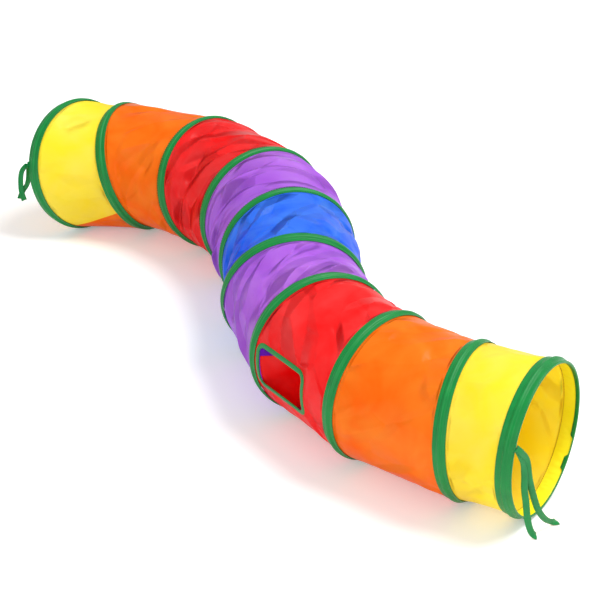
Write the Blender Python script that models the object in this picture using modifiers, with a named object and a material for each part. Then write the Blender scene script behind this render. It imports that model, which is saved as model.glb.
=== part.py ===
"""A pop-up cat tunnel: nine cloth panels on ten spring-steel hoops, laid on the floor in an S.

Each hoop is an open ring of wire whose ends meet in a ferrule. It runs in the channel of a green
tape binding, which covers the seam where two panels meet. One red panel has a bound window, and
each mouth has a pair of tie ribbons. Metres, +Z up, +X from the first mouth to the last, origin on
the floor under the middle of the whole part without its ribbons.
"""

from math import asin, cos, pi, radians, sin

import bmesh
import bpy
from mathutils import Matrix, Vector

# Sizes of the tunnel, in metres
TUNNEL_DIAMETER = 0.250
PANEL_LENGTH = {"yellow": 0.106, "orange": 0.169, "red": 0.166, "purple": 0.180, "blue": 0.153}
WAIST_DEPTH = 0.003
CLOTH_THICKNESS = 0.0008

# The binding tape, with a raised channel for the hoop along its middle
TAPE_THICKNESS = 0.0008
TAPE_WIDTH = 0.021
MOUTH_TAPE_WIDTH = 0.025
MOUTH_LIP_DEPTH = 0.005
CHANNEL_SLOPE = 0.0009

# The hoop's wire and the ferrule over its ends
WIRE_DIAMETER = 0.0018
WIRE_END_GAP = 0.001
FERRULE_DIAMETER = 0.0028
FERRULE_BORE = 0.0022
FERRULE_LENGTH = 0.014

# The window in the second red panel
WINDOW_PANEL = 7
WINDOW_WIDTH = 0.116
WINDOW_HEIGHT = 0.064
WINDOW_CORNER = 0.006
WINDOW_BINDING_WIDTH = 0.008
WINDOW_SETBACK = 0.080
WINDOW_DROP = 0.003
WINDOW_SIDE_ANGLE = 180.0
WINDOW_CUT_DEPTH = 0.080

# The tie ribbons and the stitched tab that holds each pair
RIBBON_WIDTH = 0.010
RIBBON_THICKNESS = 0.0008
TAB_LENGTH = 0.012
TAB_DEPTH = 0.005
TAB_THICKNESS = 0.0016
NEAR_TIE_ANGLE = 158.0
FAR_TIE_ANGLE = 164.0

# How the tunnel lies: each panel's colour with the bearing from hoop to hoop, in degrees,
# and each hoop's heading, with its lean towards the last mouth
PANELS = (
    ("yellow", 53.0),
    ("orange", 22.0),
    ("red", -2.0),
    ("purple", -22.0),
    ("blue", -33.0),
    ("purple", -23.0),
    ("red", -4.0),
    ("orange", 14.0),
    ("yellow", 25.0),
)
HOOPS = (
    (12.0, -13.0),
    (30.0, -22.0),
    (5.0, -13.0),
    (-9.0, 0.0),
    (-21.0, 0.0),
    (-28.0, 12.0),
    (-14.0, 2.0),
    (8.0, 2.0),
    (25.0, -5.0),
    (22.0, 0.0),
)
ROOT_HOOP = 5

# Clearances, and how thick a panel's cloth is when it is folded between two bindings
GAP = 0.0003
COLLAR_MARGIN = 0.002
FOLDED_CLOTH = 0.008

# How finely the solids are made
SIDES = 20
MIDDLE_SECTIONS = 2
FERRULE_SIDES = 8
CORNER_SEGMENTS = 3
RIBBON_STEPS = 3
MERGE_DISTANCE = 0.00001
SMOOTH_UP_TO = 40.0

# Routes of the tie ribbons from their tab: across the mouth, out from its rim, height of the point
NEAR_RIBBON_A = (
    (0.0120, 0.0090, 0.1420),
    (0.0165, 0.0105, 0.1180),
    (0.0180, 0.0112, 0.0925),
    (0.0221, 0.0133, 0.0660),
    (0.0262, 0.0154, 0.0368),
    (0.0333, 0.0190, 0.0131),
    (0.0405, 0.0250, 0.0020),
)
NEAR_RIBBON_B = (
    (0.0060, 0.0090, 0.1590),
    (0.0175, 0.0125, 0.1410),
    (0.0260, 0.0150, 0.1037),
    (0.0414, 0.0180, 0.0634),
    (0.0529, 0.0215, 0.0376),
    (0.0700, 0.0276, 0.0150),
    (0.0928, 0.0358, 0.0020),
)
FAR_RIBBON_A = (
    (0.0015, 0.0045, 0.1350),
    (0.0020, 0.0070, 0.1180),
    (0.0015, 0.0120, 0.1050),
    (-0.0020, 0.0175, 0.0950),
    (-0.0070, 0.0200, 0.0860),
    (-0.0100, 0.0210, 0.0780),
)
FAR_RIBBON_B = (
    (-0.0020, 0.0070, 0.1475),
    (-0.0085, 0.0115, 0.1370),
    (-0.0115, 0.0130, 0.1211),
    (-0.0125, 0.0125, 0.1005),
    (-0.0110, 0.0110, 0.0881),
    (-0.0090, 0.0095, 0.0778),
)
RIBBON_LAY_HEIGHT = 0.035

# Radii at the corners of the many-sided rings, worked inwards from the outside of the binding
RIDGE_OUTER = TUNNEL_DIAMETER / 2
RIDGE_INNER = RIDGE_OUTER - TAPE_THICKNESS
WIRE_RADIUS = RIDGE_INNER - GAP - FERRULE_DIAMETER / 2
TAPE_INNER = WIRE_RADIUS - FERRULE_DIAMETER / 2
TAPE_OUTER = TAPE_INNER + TAPE_THICKNESS
CLOTH_RADIUS = TAPE_INNER - GAP - CLOTH_THICKNESS / 2
LIP_OUTER = CLOTH_RADIUS - CLOTH_THICKNESS / 2 - GAP
LIP_INNER = LIP_OUTER - TAPE_THICKNESS
CHANNEL_HALF_TOP = FERRULE_DIAMETER / 2 + GAP
CHANNEL_HALF_FOOT = CHANNEL_HALF_TOP + CHANNEL_SLOPE
FACET_ANGLE = 2 * pi / SIDES
FLATNESS = cos(FACET_ANGLE / 2)

GREEN = "1F8F4E"
COLOURS = {"yellow": "FAE13C", "orange": "FF7A1A", "red": "E5161F", "purple": "9B55C6", "blue": "1F66D8"}


def clear_scene():
    for obj in list(bpy.data.objects):
        bpy.data.objects.remove(obj, do_unlink=True)


def new_collection(name):
    collection = bpy.data.collections.new(name)
    bpy.context.scene.collection.children.link(collection)
    return collection


def material(name, colour, roughness, metallic=0.0):
    """A Principled material from an sRGB hex colour."""
    made = bpy.data.materials.new(name)
    made.use_nodes = True
    srgb = [int(colour[k : k + 2], 16) / 255 for k in (0, 2, 4)]
    linear = [c / 12.92 if c < 0.04045 else ((c + 0.055) / 1.055) ** 2.4 for c in srgb]
    shader = made.node_tree.nodes["Principled BSDF"]
    shader.inputs["Base Color"].default_value = (*linear, 1.0)
    shader.inputs["Roughness"].default_value = roughness
    shader.inputs["Metallic"].default_value = metallic
    return made


def add_object(name, data, collection, matrix=None, surface=None, parent=None):
    obj = bpy.data.objects.new(name, data)
    collection.objects.link(obj)
    obj.matrix_world = matrix or Matrix.Identity(4)
    if surface:
        data.materials.append(surface)
    if parent:
        obj.parent = parent
        obj.matrix_parent_inverse = parent.matrix_basis.inverted()
    return obj


def mesh_from(bm, name):
    mesh = bpy.data.meshes.new(name)
    bm.to_mesh(mesh)
    bm.free()
    mesh.shade_smooth()
    mesh.set_sharp_from_angle(angle=radians(SMOOTH_UP_TO))
    return mesh


def tape_half_width(number):
    return (MOUTH_TAPE_WIDTH if number in (1, len(HOOPS)) else TAPE_WIDTH) / 2


def rest_height(number):
    """Height of a hoop's centre with the lowest corner of its leaning binding on the floor."""
    lean = radians(HOOPS[number - 1][1])
    ridge = RIDGE_OUTER * FLATNESS * cos(lean) + (CHANNEL_HALF_TOP + TAPE_THICKNESS / 2) * abs(sin(lean))
    edge = TAPE_OUTER * FLATNESS * cos(lean) + tape_half_width(number) * abs(sin(lean))
    return max(ridge, edge)


def hoop_places():
    """A matrix for each hoop: local X to its left, local Y up, local Z along the tunnel."""
    centres = [Vector((0.0, 0.0, 0.0))]
    for colour, bearing in PANELS:
        step = PANEL_LENGTH[colour] * Vector((cos(radians(bearing)), sin(radians(bearing)), 0.0))
        centres.append(centres[-1] + step)
    places = []
    for number, (centre, (heading, lean)) in enumerate(zip(centres, HOOPS), start=1):
        heading, lean = radians(heading), radians(lean)
        ahead = Vector((cos(heading), sin(heading), 0.0))
        up = Vector((0.0, 0.0, cos(lean))) + ahead * sin(lean)
        along = ahead * cos(lean) - Vector((0.0, 0.0, sin(lean)))
        place = Matrix((up.cross(along), up, along)).transposed().to_4x4()
        place.translation = centre + Vector((0.0, 0.0, rest_height(number)))
        places.append(place)
    return centred(places)


def ring_corners(place, radius, offset=0.0):
    """The corners of a ring, with a flat side at the bottom and so one at each side and the top."""
    turns = [(k + 0.5) * FACET_ANGLE for k in range(SIDES)]
    return [place @ Vector((radius * cos(a), radius * sin(a), offset)) for a in turns]


def centred(places):
    """Moves the hoops so that the box around all the bindings is centred over the origin."""
    corners = []
    for number, place in enumerate(places, start=1):
        half = tape_half_width(number)
        for radius, reach in ((RIDGE_OUTER, CHANNEL_HALF_TOP + TAPE_THICKNESS / 2), (TAPE_OUTER, half)):
            corners += ring_corners(place, radius, reach) + ring_corners(place, radius, -reach)
    for axis in (0, 1):
        values = [corner[axis] for corner in corners]
        middle = (min(values) + max(values)) / 2
        for place in places:
            place[axis][3] -= middle
    return places


def heading_vector(place):
    """The level direction in which a hoop faces."""
    return Vector((place[0][2], place[1][2], 0.0)).normalized()


def folded_spacing(first):
    """Distance between two folded hoops: half of each tape, the folded cloth and their difference of lean."""
    leans = [sin(radians(HOOPS[k][1])) for k in (first - 1, first)]
    tapes = tape_half_width(first) + tape_half_width(first + 1)
    return tapes + FOLDED_CLOTH + RIDGE_OUTER * abs(leans[0] - leans[1])


def fold_pivot(places, first):
    """The upright line about which one hoop folds flat against the next, and the angle of that fold.

    It is where the folding hoop's plane crosses a plane parallel to the other hoop, one folded
    spacing away, so the two end parallel. The hoop nearer to the root hoop is the one that stays.
    """
    fixed, moving = (first, first + 1) if first >= ROOT_HOOP else (first + 1, first)
    side = 1.0 if moving > fixed else -1.0
    fixed_place, moving_place = places[fixed - 1], places[moving - 1]
    fixed_ahead, moving_ahead = heading_vector(fixed_place), heading_vector(moving_place)
    stop = fixed_place.translation + fixed_ahead * folded_spacing(first) * side
    left = Vector((-moving_ahead.y, moving_ahead.x, 0.0))
    reach = (stop - moving_place.translation).dot(fixed_ahead) / left.dot(fixed_ahead)
    pivot = moving_place.translation + left * reach
    turn = asin(moving_ahead.cross(fixed_ahead).z)
    return Vector((pivot.x, pivot.y, 0.0)), turn


def screwed(name, profile, steps, collection, place, surface, parent):
    """A ring from a closed profile of (radius, offset) points, turned about the place's local Z."""
    bm = bmesh.new()
    points = [bm.verts.new((radius, 0.0, offset)) for radius, offset in profile]
    for k, point in enumerate(points):
        bm.edges.new((point, points[(k + 1) % len(points)]))
    mesh = mesh_from(bm, name)
    obj = add_object(name, mesh, collection, place, surface, parent)
    screw = obj.modifiers.new("Screw", "SCREW")
    screw.axis = "Z"
    screw.angle = 2 * pi
    screw.steps = steps
    screw.render_steps = steps
    screw.use_merge_vertices = True
    screw.merge_threshold = MERGE_DISTANCE
    screw.use_smooth_shade = False
    return obj


def binding_profile(number):
    """The section of a binding tape, down its outer side and back up its inner side."""
    half = tape_half_width(number)
    top, foot = CHANNEL_HALF_TOP, CHANNEL_HALF_FOOT
    outer = [
        (TAPE_OUTER, half),
        (TAPE_OUTER, foot + TAPE_THICKNESS),
        (RIDGE_OUTER, top + TAPE_THICKNESS / 2),
        (RIDGE_OUTER, -top - TAPE_THICKNESS / 2),
        (TAPE_OUTER, -foot - TAPE_THICKNESS),
        (TAPE_OUTER, -half),
    ]
    channel = [(TAPE_INNER, -foot), (RIDGE_INNER, -top), (RIDGE_INNER, top), (TAPE_INNER, foot)]
    plain_edge = (TAPE_INNER, half)
    folded_edge = [
        (TAPE_INNER, half - TAPE_THICKNESS),
        (LIP_OUTER, half - TAPE_THICKNESS),
        (LIP_OUTER, half - MOUTH_LIP_DEPTH),
        (LIP_INNER, half - MOUTH_LIP_DEPTH),
        (LIP_INNER, half),
    ]
    last_mouth = folded_edge if number == len(HOOPS) else [plain_edge]
    first_mouth = [(r, -z) for r, z in reversed(folded_edge)] if number == 1 else [(TAPE_INNER, -half)]
    return outer + first_mouth + channel + last_mouth


def add_binding(number, place, collection, surface, parent):
    turned = place @ Matrix.Rotation(FACET_ANGLE / 2, 4, "Z")
    return screwed(f"binding_{number}", binding_profile(number), SIDES, collection, turned, surface, parent)


def add_hoop(number, place, collection, surface, parent):
    """The wire: an open ring whose two ends meet in the middle of the bottom side."""
    corners = ring_corners(Matrix.Identity(4), WIRE_RADIUS)
    bottom = 3 * SIDES // 4
    first_end = Vector((WIRE_END_GAP / 2, -WIRE_RADIUS * FLATNESS, 0.0))
    last_end = Vector((-WIRE_END_GAP / 2, -WIRE_RADIUS * FLATNESS, 0.0))
    route = [first_end] + corners[bottom:] + corners[:bottom] + [last_end]
    curve = bpy.data.curves.new(f"hoop_{number}", "CURVE")
    curve.dimensions = "3D"
    curve.bevel_depth = WIRE_DIAMETER / 2
    curve.bevel_resolution = 1
    curve.use_fill_caps = True
    spline = curve.splines.new("POLY")
    spline.points.add(len(route) - 1)
    for point, position in zip(spline.points, route):
        point.co = (*position, 1.0)
    return add_object(f"hoop_{number}", curve, collection, place, surface, parent)


def add_ferrule(number, place, collection, surface, parent):
    half = FERRULE_LENGTH / 2
    profile = [
        (FERRULE_DIAMETER / 2, half),
        (FERRULE_DIAMETER / 2, -half),
        (FERRULE_BORE / 2, -half),
        (FERRULE_BORE / 2, half),
    ]
    seat = place @ Matrix.Translation((0.0, -WIRE_RADIUS * FLATNESS, 0.0)) @ Matrix.Rotation(pi / 2, 4, "Y")
    seat = seat @ Matrix.Rotation(pi / FERRULE_SIDES, 4, "Z")
    return screwed(f"ferrule_{number}", profile, FERRULE_SIDES, collection, seat, surface, parent)


def panel_sections(places, number):
    """The rings of corners along one panel: a collar under each binding and a waist between them."""
    first, last = places[number - 1], places[number]
    first_collar = tape_half_width(number) + COLLAR_MARGIN
    last_collar = tape_half_width(number + 1) + COLLAR_MARGIN
    mouth_edge = MOUTH_TAPE_WIDTH / 2 - TAPE_THICKNESS - GAP
    first_edge = -mouth_edge if number == 1 else GAP
    last_edge = mouth_edge if number == len(PANELS) else -GAP
    sections = [ring_corners(first, CLOTH_RADIUS, first_edge), ring_corners(first, CLOTH_RADIUS, first_collar)]
    for k in range(1, MIDDLE_SECTIONS + 1):
        along = k / (MIDDLE_SECTIONS + 1)
        radius = CLOTH_RADIUS - WAIST_DEPTH * sin(pi * along)
        pairs = zip(ring_corners(first, radius, first_collar), ring_corners(last, radius, -last_collar))
        sections.append([a.lerp(b, along) for a, b in pairs])
    sections.append(ring_corners(last, CLOTH_RADIUS, -last_collar))
    sections.append(ring_corners(last, CLOTH_RADIUS, last_edge))
    return sections


def panel_surface(places, number):
    """The open surface of a panel, lofted between hoops that neither face nor lean alike."""
    bm = bmesh.new()
    rings = [[bm.verts.new(corner) for corner in section] for section in panel_sections(places, number)]
    for ring, after in zip(rings, rings[1:]):
        for k in range(SIDES):
            beside = (k + 1) % SIDES
            bm.faces.new((ring[k], ring[beside], after[beside], after[k]))
    return mesh_from(bm, f"panel_{number}")


def add_solidify(obj, thickness):
    shell = obj.modifiers.new("Solidify", "SOLIDIFY")
    shell.thickness = thickness
    shell.offset = 0.0


def add_boolean(obj, operation, cutter):
    cut = obj.modifiers.new(f"{operation.title()} {cutter.name}", "BOOLEAN")
    cut.operation = operation
    cut.object = cutter


def panel_name(number):
    return f"panel_{number}_{PANELS[number - 1][0]}"


def add_panel(places, number, collection, surface, parent):
    mesh = panel_surface(places, number)
    obj = add_object(panel_name(number), mesh, collection, None, surface, parent)
    add_solidify(obj, CLOTH_THICKNESS)
    return obj


def window_place(places):
    """A matrix at the window's centre: local X along the wall, local Y up, local Z out of the wall."""
    side = radians(WINDOW_SIDE_ANGLE)
    ends = []
    for hoop, offset in ((WINDOW_PANEL, 1.0), (WINDOW_PANEL + 1, -1.0)):
        collar = offset * (tape_half_width(hoop) + COLLAR_MARGIN)
        ends.append(places[hoop - 1] @ Vector((CLOTH_RADIUS * cos(side), CLOTH_RADIUS * sin(side), collar)))
    start, end = ends
    along = (end - start).normalized()
    along.z = 0.0
    along.normalize()
    collar = tape_half_width(WINDOW_PANEL) + COLLAR_MARGIN
    centre = start + along * (WINDOW_SETBACK - collar)
    centre.z -= WINDOW_DROP
    up = Vector((0.0, 0.0, 1.0))
    place = Matrix((along, up, along.cross(up))).transposed().to_4x4()
    place.translation = centre
    return place


def add_window_cutter(name, margin, place, collection):
    """A rounded upright prism through the wall, larger all round than the clear window by the margin."""
    bm = bmesh.new()
    size = (WINDOW_WIDTH + 2 * margin, WINDOW_HEIGHT + 2 * margin, WINDOW_CUT_DEPTH)
    bmesh.ops.create_cube(bm, size=1.0, matrix=Matrix.Diagonal((*size, 1.0)))
    upright = [e for e in bm.edges if abs((e.verts[0].co - e.verts[1].co).z) > WINDOW_CUT_DEPTH / 2]
    radius = WINDOW_CORNER + margin
    bmesh.ops.bevel(
        bm, geom=upright, offset=radius, segments=CORNER_SEGMENTS, affect="EDGES", profile=0.5
    )
    cutter = add_object(name, mesh_from(bm, name), collection, place)
    cutter.hide_render = True
    cutter.display_type = "WIRE"
    return cutter


def add_window(places, panel, collection, cutters, surface, parent):
    """Cuts the window and adds its binding, a tape folded round the cut edge of the cloth."""
    place = window_place(places)
    clear = add_window_cutter("window_clear", 0.0, place, cutters)
    fold = add_window_cutter("window_fold", TAPE_THICKNESS, place, cutters)
    cut = add_window_cutter("window_cut", TAPE_THICKNESS + GAP, place, cutters)
    outer = add_window_cutter("window_outer", WINDOW_BINDING_WIDTH, place, cutters)
    add_boolean(panel, "DIFFERENCE", cut)

    slot = add_object("window_slot", panel_surface(places, WINDOW_PANEL), cutters)
    slot.hide_render = True
    slot.display_type = "WIRE"
    add_solidify(slot, CLOTH_THICKNESS + 2 * GAP)
    add_boolean(slot, "DIFFERENCE", fold)

    mesh = panel_surface(places, WINDOW_PANEL)
    binding = add_object("window_binding", mesh, collection, None, surface, parent)
    add_solidify(binding, CLOTH_THICKNESS + 2 * GAP + 2 * TAPE_THICKNESS)
    add_boolean(binding, "INTERSECT", outer)
    add_boolean(binding, "DIFFERENCE", clear)
    add_boolean(binding, "DIFFERENCE", slot)
    return binding


def tie_frame(place, angle, outwards):
    """The point of a mouth's rim where its ribbons are sewn, with the directions across and out."""
    turn = radians(angle)
    radius = (TAPE_OUTER + LIP_INNER) / 2
    rim = place @ Vector((radius * cos(turn), radius * sin(turn), outwards * MOUTH_TAPE_WIDTH / 2))
    out = heading_vector(place) * outwards
    across = heading_vector(place).cross(Vector((0.0, 0.0, 1.0))) * -1.0
    return rim, across, out


def add_tie_tab(name, place, angle, outwards, collection, surface, parent):
    """The folded, stitched piece of ribbon that lies against the rim."""
    bm = bmesh.new()
    bmesh.ops.create_cube(bm, size=1.0, matrix=Matrix.Diagonal((TAB_DEPTH, TAB_LENGTH, TAB_THICKNESS, 1.0)))
    seat = Matrix.Translation((0.0, 0.0, outwards * (MOUTH_TAPE_WIDTH / 2 + GAP + TAB_THICKNESS / 2)))
    around = Matrix.Rotation(radians(angle), 4, "Z")
    reach = Matrix.Translation(((TAPE_OUTER + LIP_INNER) / 2 * FLATNESS, 0.0, 0.0))
    return add_object(name, mesh_from(bm, name), collection, place @ seat @ around @ reach, surface, parent)


def smooth_route(points):
    """Points along a smooth curve through the given ones."""
    ends = [2 * points[0] - points[1], *points, 2 * points[-1] - points[-2]]
    route = []
    for before, start, end, after in zip(ends, ends[1:], ends[2:], ends[3:]):
        for k in range(RIBBON_STEPS):
            t = k / RIBBON_STEPS
            bend = (before * -1 + start * 3 - end * 3 + after) * t**3
            swing = (before * 2 - start * 5 + end * 4 - after) * t**2
            route.append((start * 2 + (end - before) * t + swing + bend) / 2)
    return route + [points[-1]]


def add_ribbon(name, tie, layer, offsets, collection, surface, parent):
    """A flat ribbon that faces out of the mouth and turns to lie flat where it nears the floor."""
    rim, across, out = tie
    first = rim + out * (GAP + TAB_THICKNESS + (layer + 0.5) * RIBBON_THICKNESS + (layer + 1) * GAP)
    points = [first]
    for sideways, outwards, height in offsets:
        point = rim + across * sideways + out * outwards
        points.append(Vector((point.x, point.y, height)))
    route = smooth_route(points)
    bm = bmesh.new()
    edge = None
    for k, point in enumerate(route):
        tangent = (route[min(k + 1, len(route) - 1)] - route[max(k - 1, 0)]).normalized()
        lay = max(0.0, 1.0 - point.z / RIBBON_LAY_HEIGHT)
        facing = out.lerp(Vector((0.0, 0.0, 1.0)), lay)
        half = facing.cross(tangent).normalized() * RIBBON_WIDTH / 2
        if edge is None:
            edge = bm.edges.new((bm.verts.new(point - half), bm.verts.new(point + half)))
            continue
        grown = bmesh.ops.extrude_edge_only(bm, edges=[edge])["geom"]
        ends = [item for item in grown if isinstance(item, bmesh.types.BMVert)]
        edge = next(item for item in grown if isinstance(item, bmesh.types.BMEdge))
        middle = (ends[0].co + ends[1].co) / 2
        low = ends[0] if (ends[0].co - middle).dot(half) < 0 else ends[1]
        high = ends[1] if low is ends[0] else ends[0]
        low.co = point - half
        high.co = point + half
    bmesh.ops.recalc_face_normals(bm, faces=bm.faces)
    obj = add_object(name, mesh_from(bm, name), collection, None, surface, parent)
    add_solidify(obj, RIBBON_THICKNESS)
    return obj


def add_ties(places, holders, collection, surface):
    far, near = places[0], places[-1]
    far_tie = tie_frame(far, FAR_TIE_ANGLE, -1.0)
    near_tie = tie_frame(near, NEAR_TIE_ANGLE, 1.0)
    far_holder, near_holder = holders[0], holders[-1]
    add_tie_tab("far_tie_tab", far, FAR_TIE_ANGLE, -1.0, collection, surface, far_holder)
    add_tie_tab("near_tie_tab", near, NEAR_TIE_ANGLE, 1.0, collection, surface, near_holder)
    add_ribbon("far_ribbon_a", far_tie, 0, FAR_RIBBON_A, collection, surface, far_holder)
    add_ribbon("far_ribbon_b", far_tie, 1, FAR_RIBBON_B, collection, surface, far_holder)
    add_ribbon("near_ribbon_a", near_tie, 0, NEAR_RIBBON_A, collection, surface, near_holder)
    add_ribbon("near_ribbon_b", near_tie, 1, NEAR_RIBBON_B, collection, surface, near_holder)


def add_holders(places, collection):
    """An empty for each hoop on the line about which it folds, chained outwards from the root hoop."""
    holders = [None] * len(HOOPS)
    root = ROOT_HOOP - 1
    holders[root] = add_object("root_holder", None, collection)
    outwards = [(k, k - 1, k) for k in range(root + 1, len(HOOPS))]
    inwards = [(k, k + 1, k + 1) for k in range(root - 1, -1, -1)]
    for moving, fixed, first in outwards + inwards:
        pivot, turn = fold_pivot(places, first)
        place = Matrix.Translation(pivot)
        holder = add_object(f"fold_{first}_pivot", None, collection, place, None, holders[fixed])
        holders[moving] = holder
        print(f"fold {first}: hoop {moving + 1} about ({pivot.x:.5f}, {pivot.y:.5f}), {turn * 180 / pi:.3f} degrees")
        bpy.context.view_layer.update()
    return holders


def main():
    clear_scene()
    tunnel = new_collection("cat_tunnel")
    cutters = new_collection("cutters")
    tape = material("binding tape", GREEN, 0.55)
    steel = material("spring steel", "8E9296", 0.35, 1.0)
    zinc = material("zinc ferrule", "A9ACAE", 0.45, 1.0)
    cloths = {name: material(f"{name} cloth", colour, 0.45) for name, colour in COLOURS.items()}

    places = hoop_places()
    holders = add_holders(places, tunnel)
    for number, (place, holder) in enumerate(zip(places, holders), start=1):
        add_hoop(number, place, tunnel, steel, holder)
        add_ferrule(number, place, tunnel, zinc, holder)
        add_binding(number, place, tunnel, tape, holder)
    for number, (colour, _) in enumerate(PANELS, start=1):
        outer_hoop = number if number < ROOT_HOOP else number + 1
        holder = holders[outer_hoop - 1]
        panel = add_panel(places, number, tunnel, cloths[colour], holder)
        if number == WINDOW_PANEL:
            add_window(places, panel, tunnel, cutters, tape, holder)
    add_ties(places, holders, tunnel, tape)


main()
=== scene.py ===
"""A pop-up cat tunnel of nine taffeta panels, bound in green tape over ten spring-steel hoops.

It lies in an S on a white floor, seen from the near mouth. Metres, in the frame of the CAD model.
"""

from math import atan2, cos, degrees, exp, pi, radians, sin, sqrt

import bmesh
import bpy
from mathutils import Matrix, Vector, noise
from mathutils.bvhtree import BVHTree


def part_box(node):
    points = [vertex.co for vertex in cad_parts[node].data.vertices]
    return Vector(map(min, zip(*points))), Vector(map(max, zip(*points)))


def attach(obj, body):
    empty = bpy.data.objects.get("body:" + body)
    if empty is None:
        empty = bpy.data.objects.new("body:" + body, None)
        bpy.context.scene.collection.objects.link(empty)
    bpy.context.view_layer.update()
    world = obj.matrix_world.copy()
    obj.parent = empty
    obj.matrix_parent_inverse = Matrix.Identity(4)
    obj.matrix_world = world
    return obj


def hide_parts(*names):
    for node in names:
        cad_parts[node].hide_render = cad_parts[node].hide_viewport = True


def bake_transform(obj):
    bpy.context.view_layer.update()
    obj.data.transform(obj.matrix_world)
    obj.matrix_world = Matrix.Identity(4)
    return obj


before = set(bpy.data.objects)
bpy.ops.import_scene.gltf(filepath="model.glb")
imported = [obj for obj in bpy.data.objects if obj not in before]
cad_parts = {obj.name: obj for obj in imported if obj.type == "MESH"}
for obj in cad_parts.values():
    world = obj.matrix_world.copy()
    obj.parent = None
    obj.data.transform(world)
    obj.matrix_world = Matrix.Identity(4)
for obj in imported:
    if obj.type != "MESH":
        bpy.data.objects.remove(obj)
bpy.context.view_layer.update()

# The camera stands beyond the near mouth and looks down along the tunnel through a long lens,
# as in the photograph.
camera = bpy.data.objects.new("camera", bpy.data.cameras.new("camera"))
bpy.context.scene.collection.objects.link(camera)
camera.location = (2.5118, -1.9083, 1.7128)
camera.rotation_euler = (radians(62.65), 0.0, radians(52.68))
camera.data.lens = 124.75
camera.data.sensor_width = 36.0
camera.data.clip_end = 60.0
bpy.context.scene.camera = camera

# How the tunnel lies: each hoop stands on the floor with its own heading and its lean towards the
# near mouth, in degrees.
HOOPS = (
    (12.0, -13.0),
    (30.0, -22.0),
    (5.0, -13.0),
    (-9.0, 0.0),
    (-21.0, 0.0),
    (-28.0, 12.0),
    (-14.0, 2.0),
    (8.0, 2.0),
    (25.0, -5.0),
    (22.0, 0.0),
)
NEAR = len(HOOPS)


def hoop_place(number):
    """A matrix at the middle of a CAD hoop: X to its left, Y up, Z along the tunnel."""
    low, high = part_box(f"hoop_{number}")
    heading, lean = (radians(angle) for angle in HOOPS[number - 1])
    ahead = Vector((cos(heading), sin(heading), 0.0))
    up = Vector((0.0, 0.0, cos(lean))) + ahead * sin(lean)
    along = ahead * cos(lean) - Vector((0.0, 0.0, sin(lean)))
    place = Matrix((up.cross(along), up, along)).transposed().to_4x4()
    place.translation = (low + high) / 2
    return place


hoops = {number: hoop_place(number) for number in range(1, NEAR + 1)}

# Tie ribbons: soft woven polyester ribbon 10 mm wide. Each pair is stitched to its mouth by a
# folded tab and hangs from it, cut straight at the ends.
TIE_GREEN = "128F46"
TIE_SHADE = "0A7034"
RIBBON_WIDTH = 0.010
RIBBON_THICKNESS = 0.0007
RIBBON_STACK = 0.0008
RIBBON_CUP = 0.0008
CUP_LEVEL = 0.4
RIBBON_STEPS = 9
RIBBON_TWIST_SHARE = 0.3
RIBBON_LAY_HEIGHT = 0.010
WEAVE_RIB = 0.0009
TIE_GAP = 0.0003
TIE_RADIUS = 0.1204
MOUTH_EDGE = 0.0125
TAB_THICKNESS = 0.0016
TAB_DEPTH = 0.005
TAB_LENGTH = 0.012
TAB_EDGE = 0.0006
TACK_THREADS = 7
TACK_PITCH = 0.0012
TACK_THREAD_HALF = (0.0012, 0.0005, 0.0004)
THREAD_GREEN = "0A4420"
FAR_TIE_ANGLE = 164.0
NEAR_TIE_ANGLE = 158.0
# Each point is across the mouth, out from its rim, and high above the floor
FAR_RIBBON_A = (
    (0.0015, 0.0045, 0.1350),
    (0.0020, 0.0070, 0.1180),
    (0.0015, 0.0120, 0.1050),
    (-0.0020, 0.0175, 0.0950),
    (-0.0070, 0.0200, 0.0860),
    (-0.0100, 0.0210, 0.0780),
)
FAR_RIBBON_B = (
    (-0.0020, 0.0070, 0.1475),
    (-0.0085, 0.0115, 0.1370),
    (-0.0115, 0.0130, 0.1211),
    (-0.0125, 0.0125, 0.1005),
    (-0.0110, 0.0110, 0.0881),
    (-0.0090, 0.0095, 0.0778),
)
NEAR_RIBBON_A = (
    (0.0120, 0.0090, 0.1420),
    (0.0165, 0.0105, 0.1180),
    (0.0180, 0.0112, 0.0925),
    (0.0221, 0.0133, 0.0660),
    (0.0262, 0.0154, 0.0368),
    (0.0333, 0.0190, 0.0131),
    (0.0405, 0.0250, 0.0020),
)
NEAR_RIBBON_B = (
    (0.0060, 0.0090, 0.1590),
    (0.0175, 0.0125, 0.1410),
    (0.0260, 0.0150, 0.1037),
    (0.0414, 0.0180, 0.0634),
    (0.0529, 0.0215, 0.0376),
    (0.0700, 0.0276, 0.0150),
    (0.0928, 0.0358, 0.0020),
)


def linear(code):
    """An sRGB hex colour as a linear one."""
    srgb = [int(code[k : k + 2], 16) / 255 for k in (0, 2, 4)]
    return (*[c / 12.92 if c < 0.04045 else ((c + 0.055) / 1.055) ** 2.4 for c in srgb], 1.0)


def add_node(tree, kind, inputs=None, **settings):
    """A node with its settings, whose inputs are values or the sockets that feed them."""
    node = tree.nodes.new(kind)
    for name, value in settings.items():
        setattr(node, name, value)
    for name, value in (inputs or {}).items():
        if isinstance(value, bpy.types.NodeSocket):
            tree.links.new(value, node.inputs[name])
        else:
            node.inputs[name].default_value = value
    return node


def bare_finish(name):
    """A new material and its empty node tree."""
    made = bpy.data.materials.new(name)
    made.use_nodes = True
    made.node_tree.nodes.clear()
    return made, made.node_tree


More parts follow.
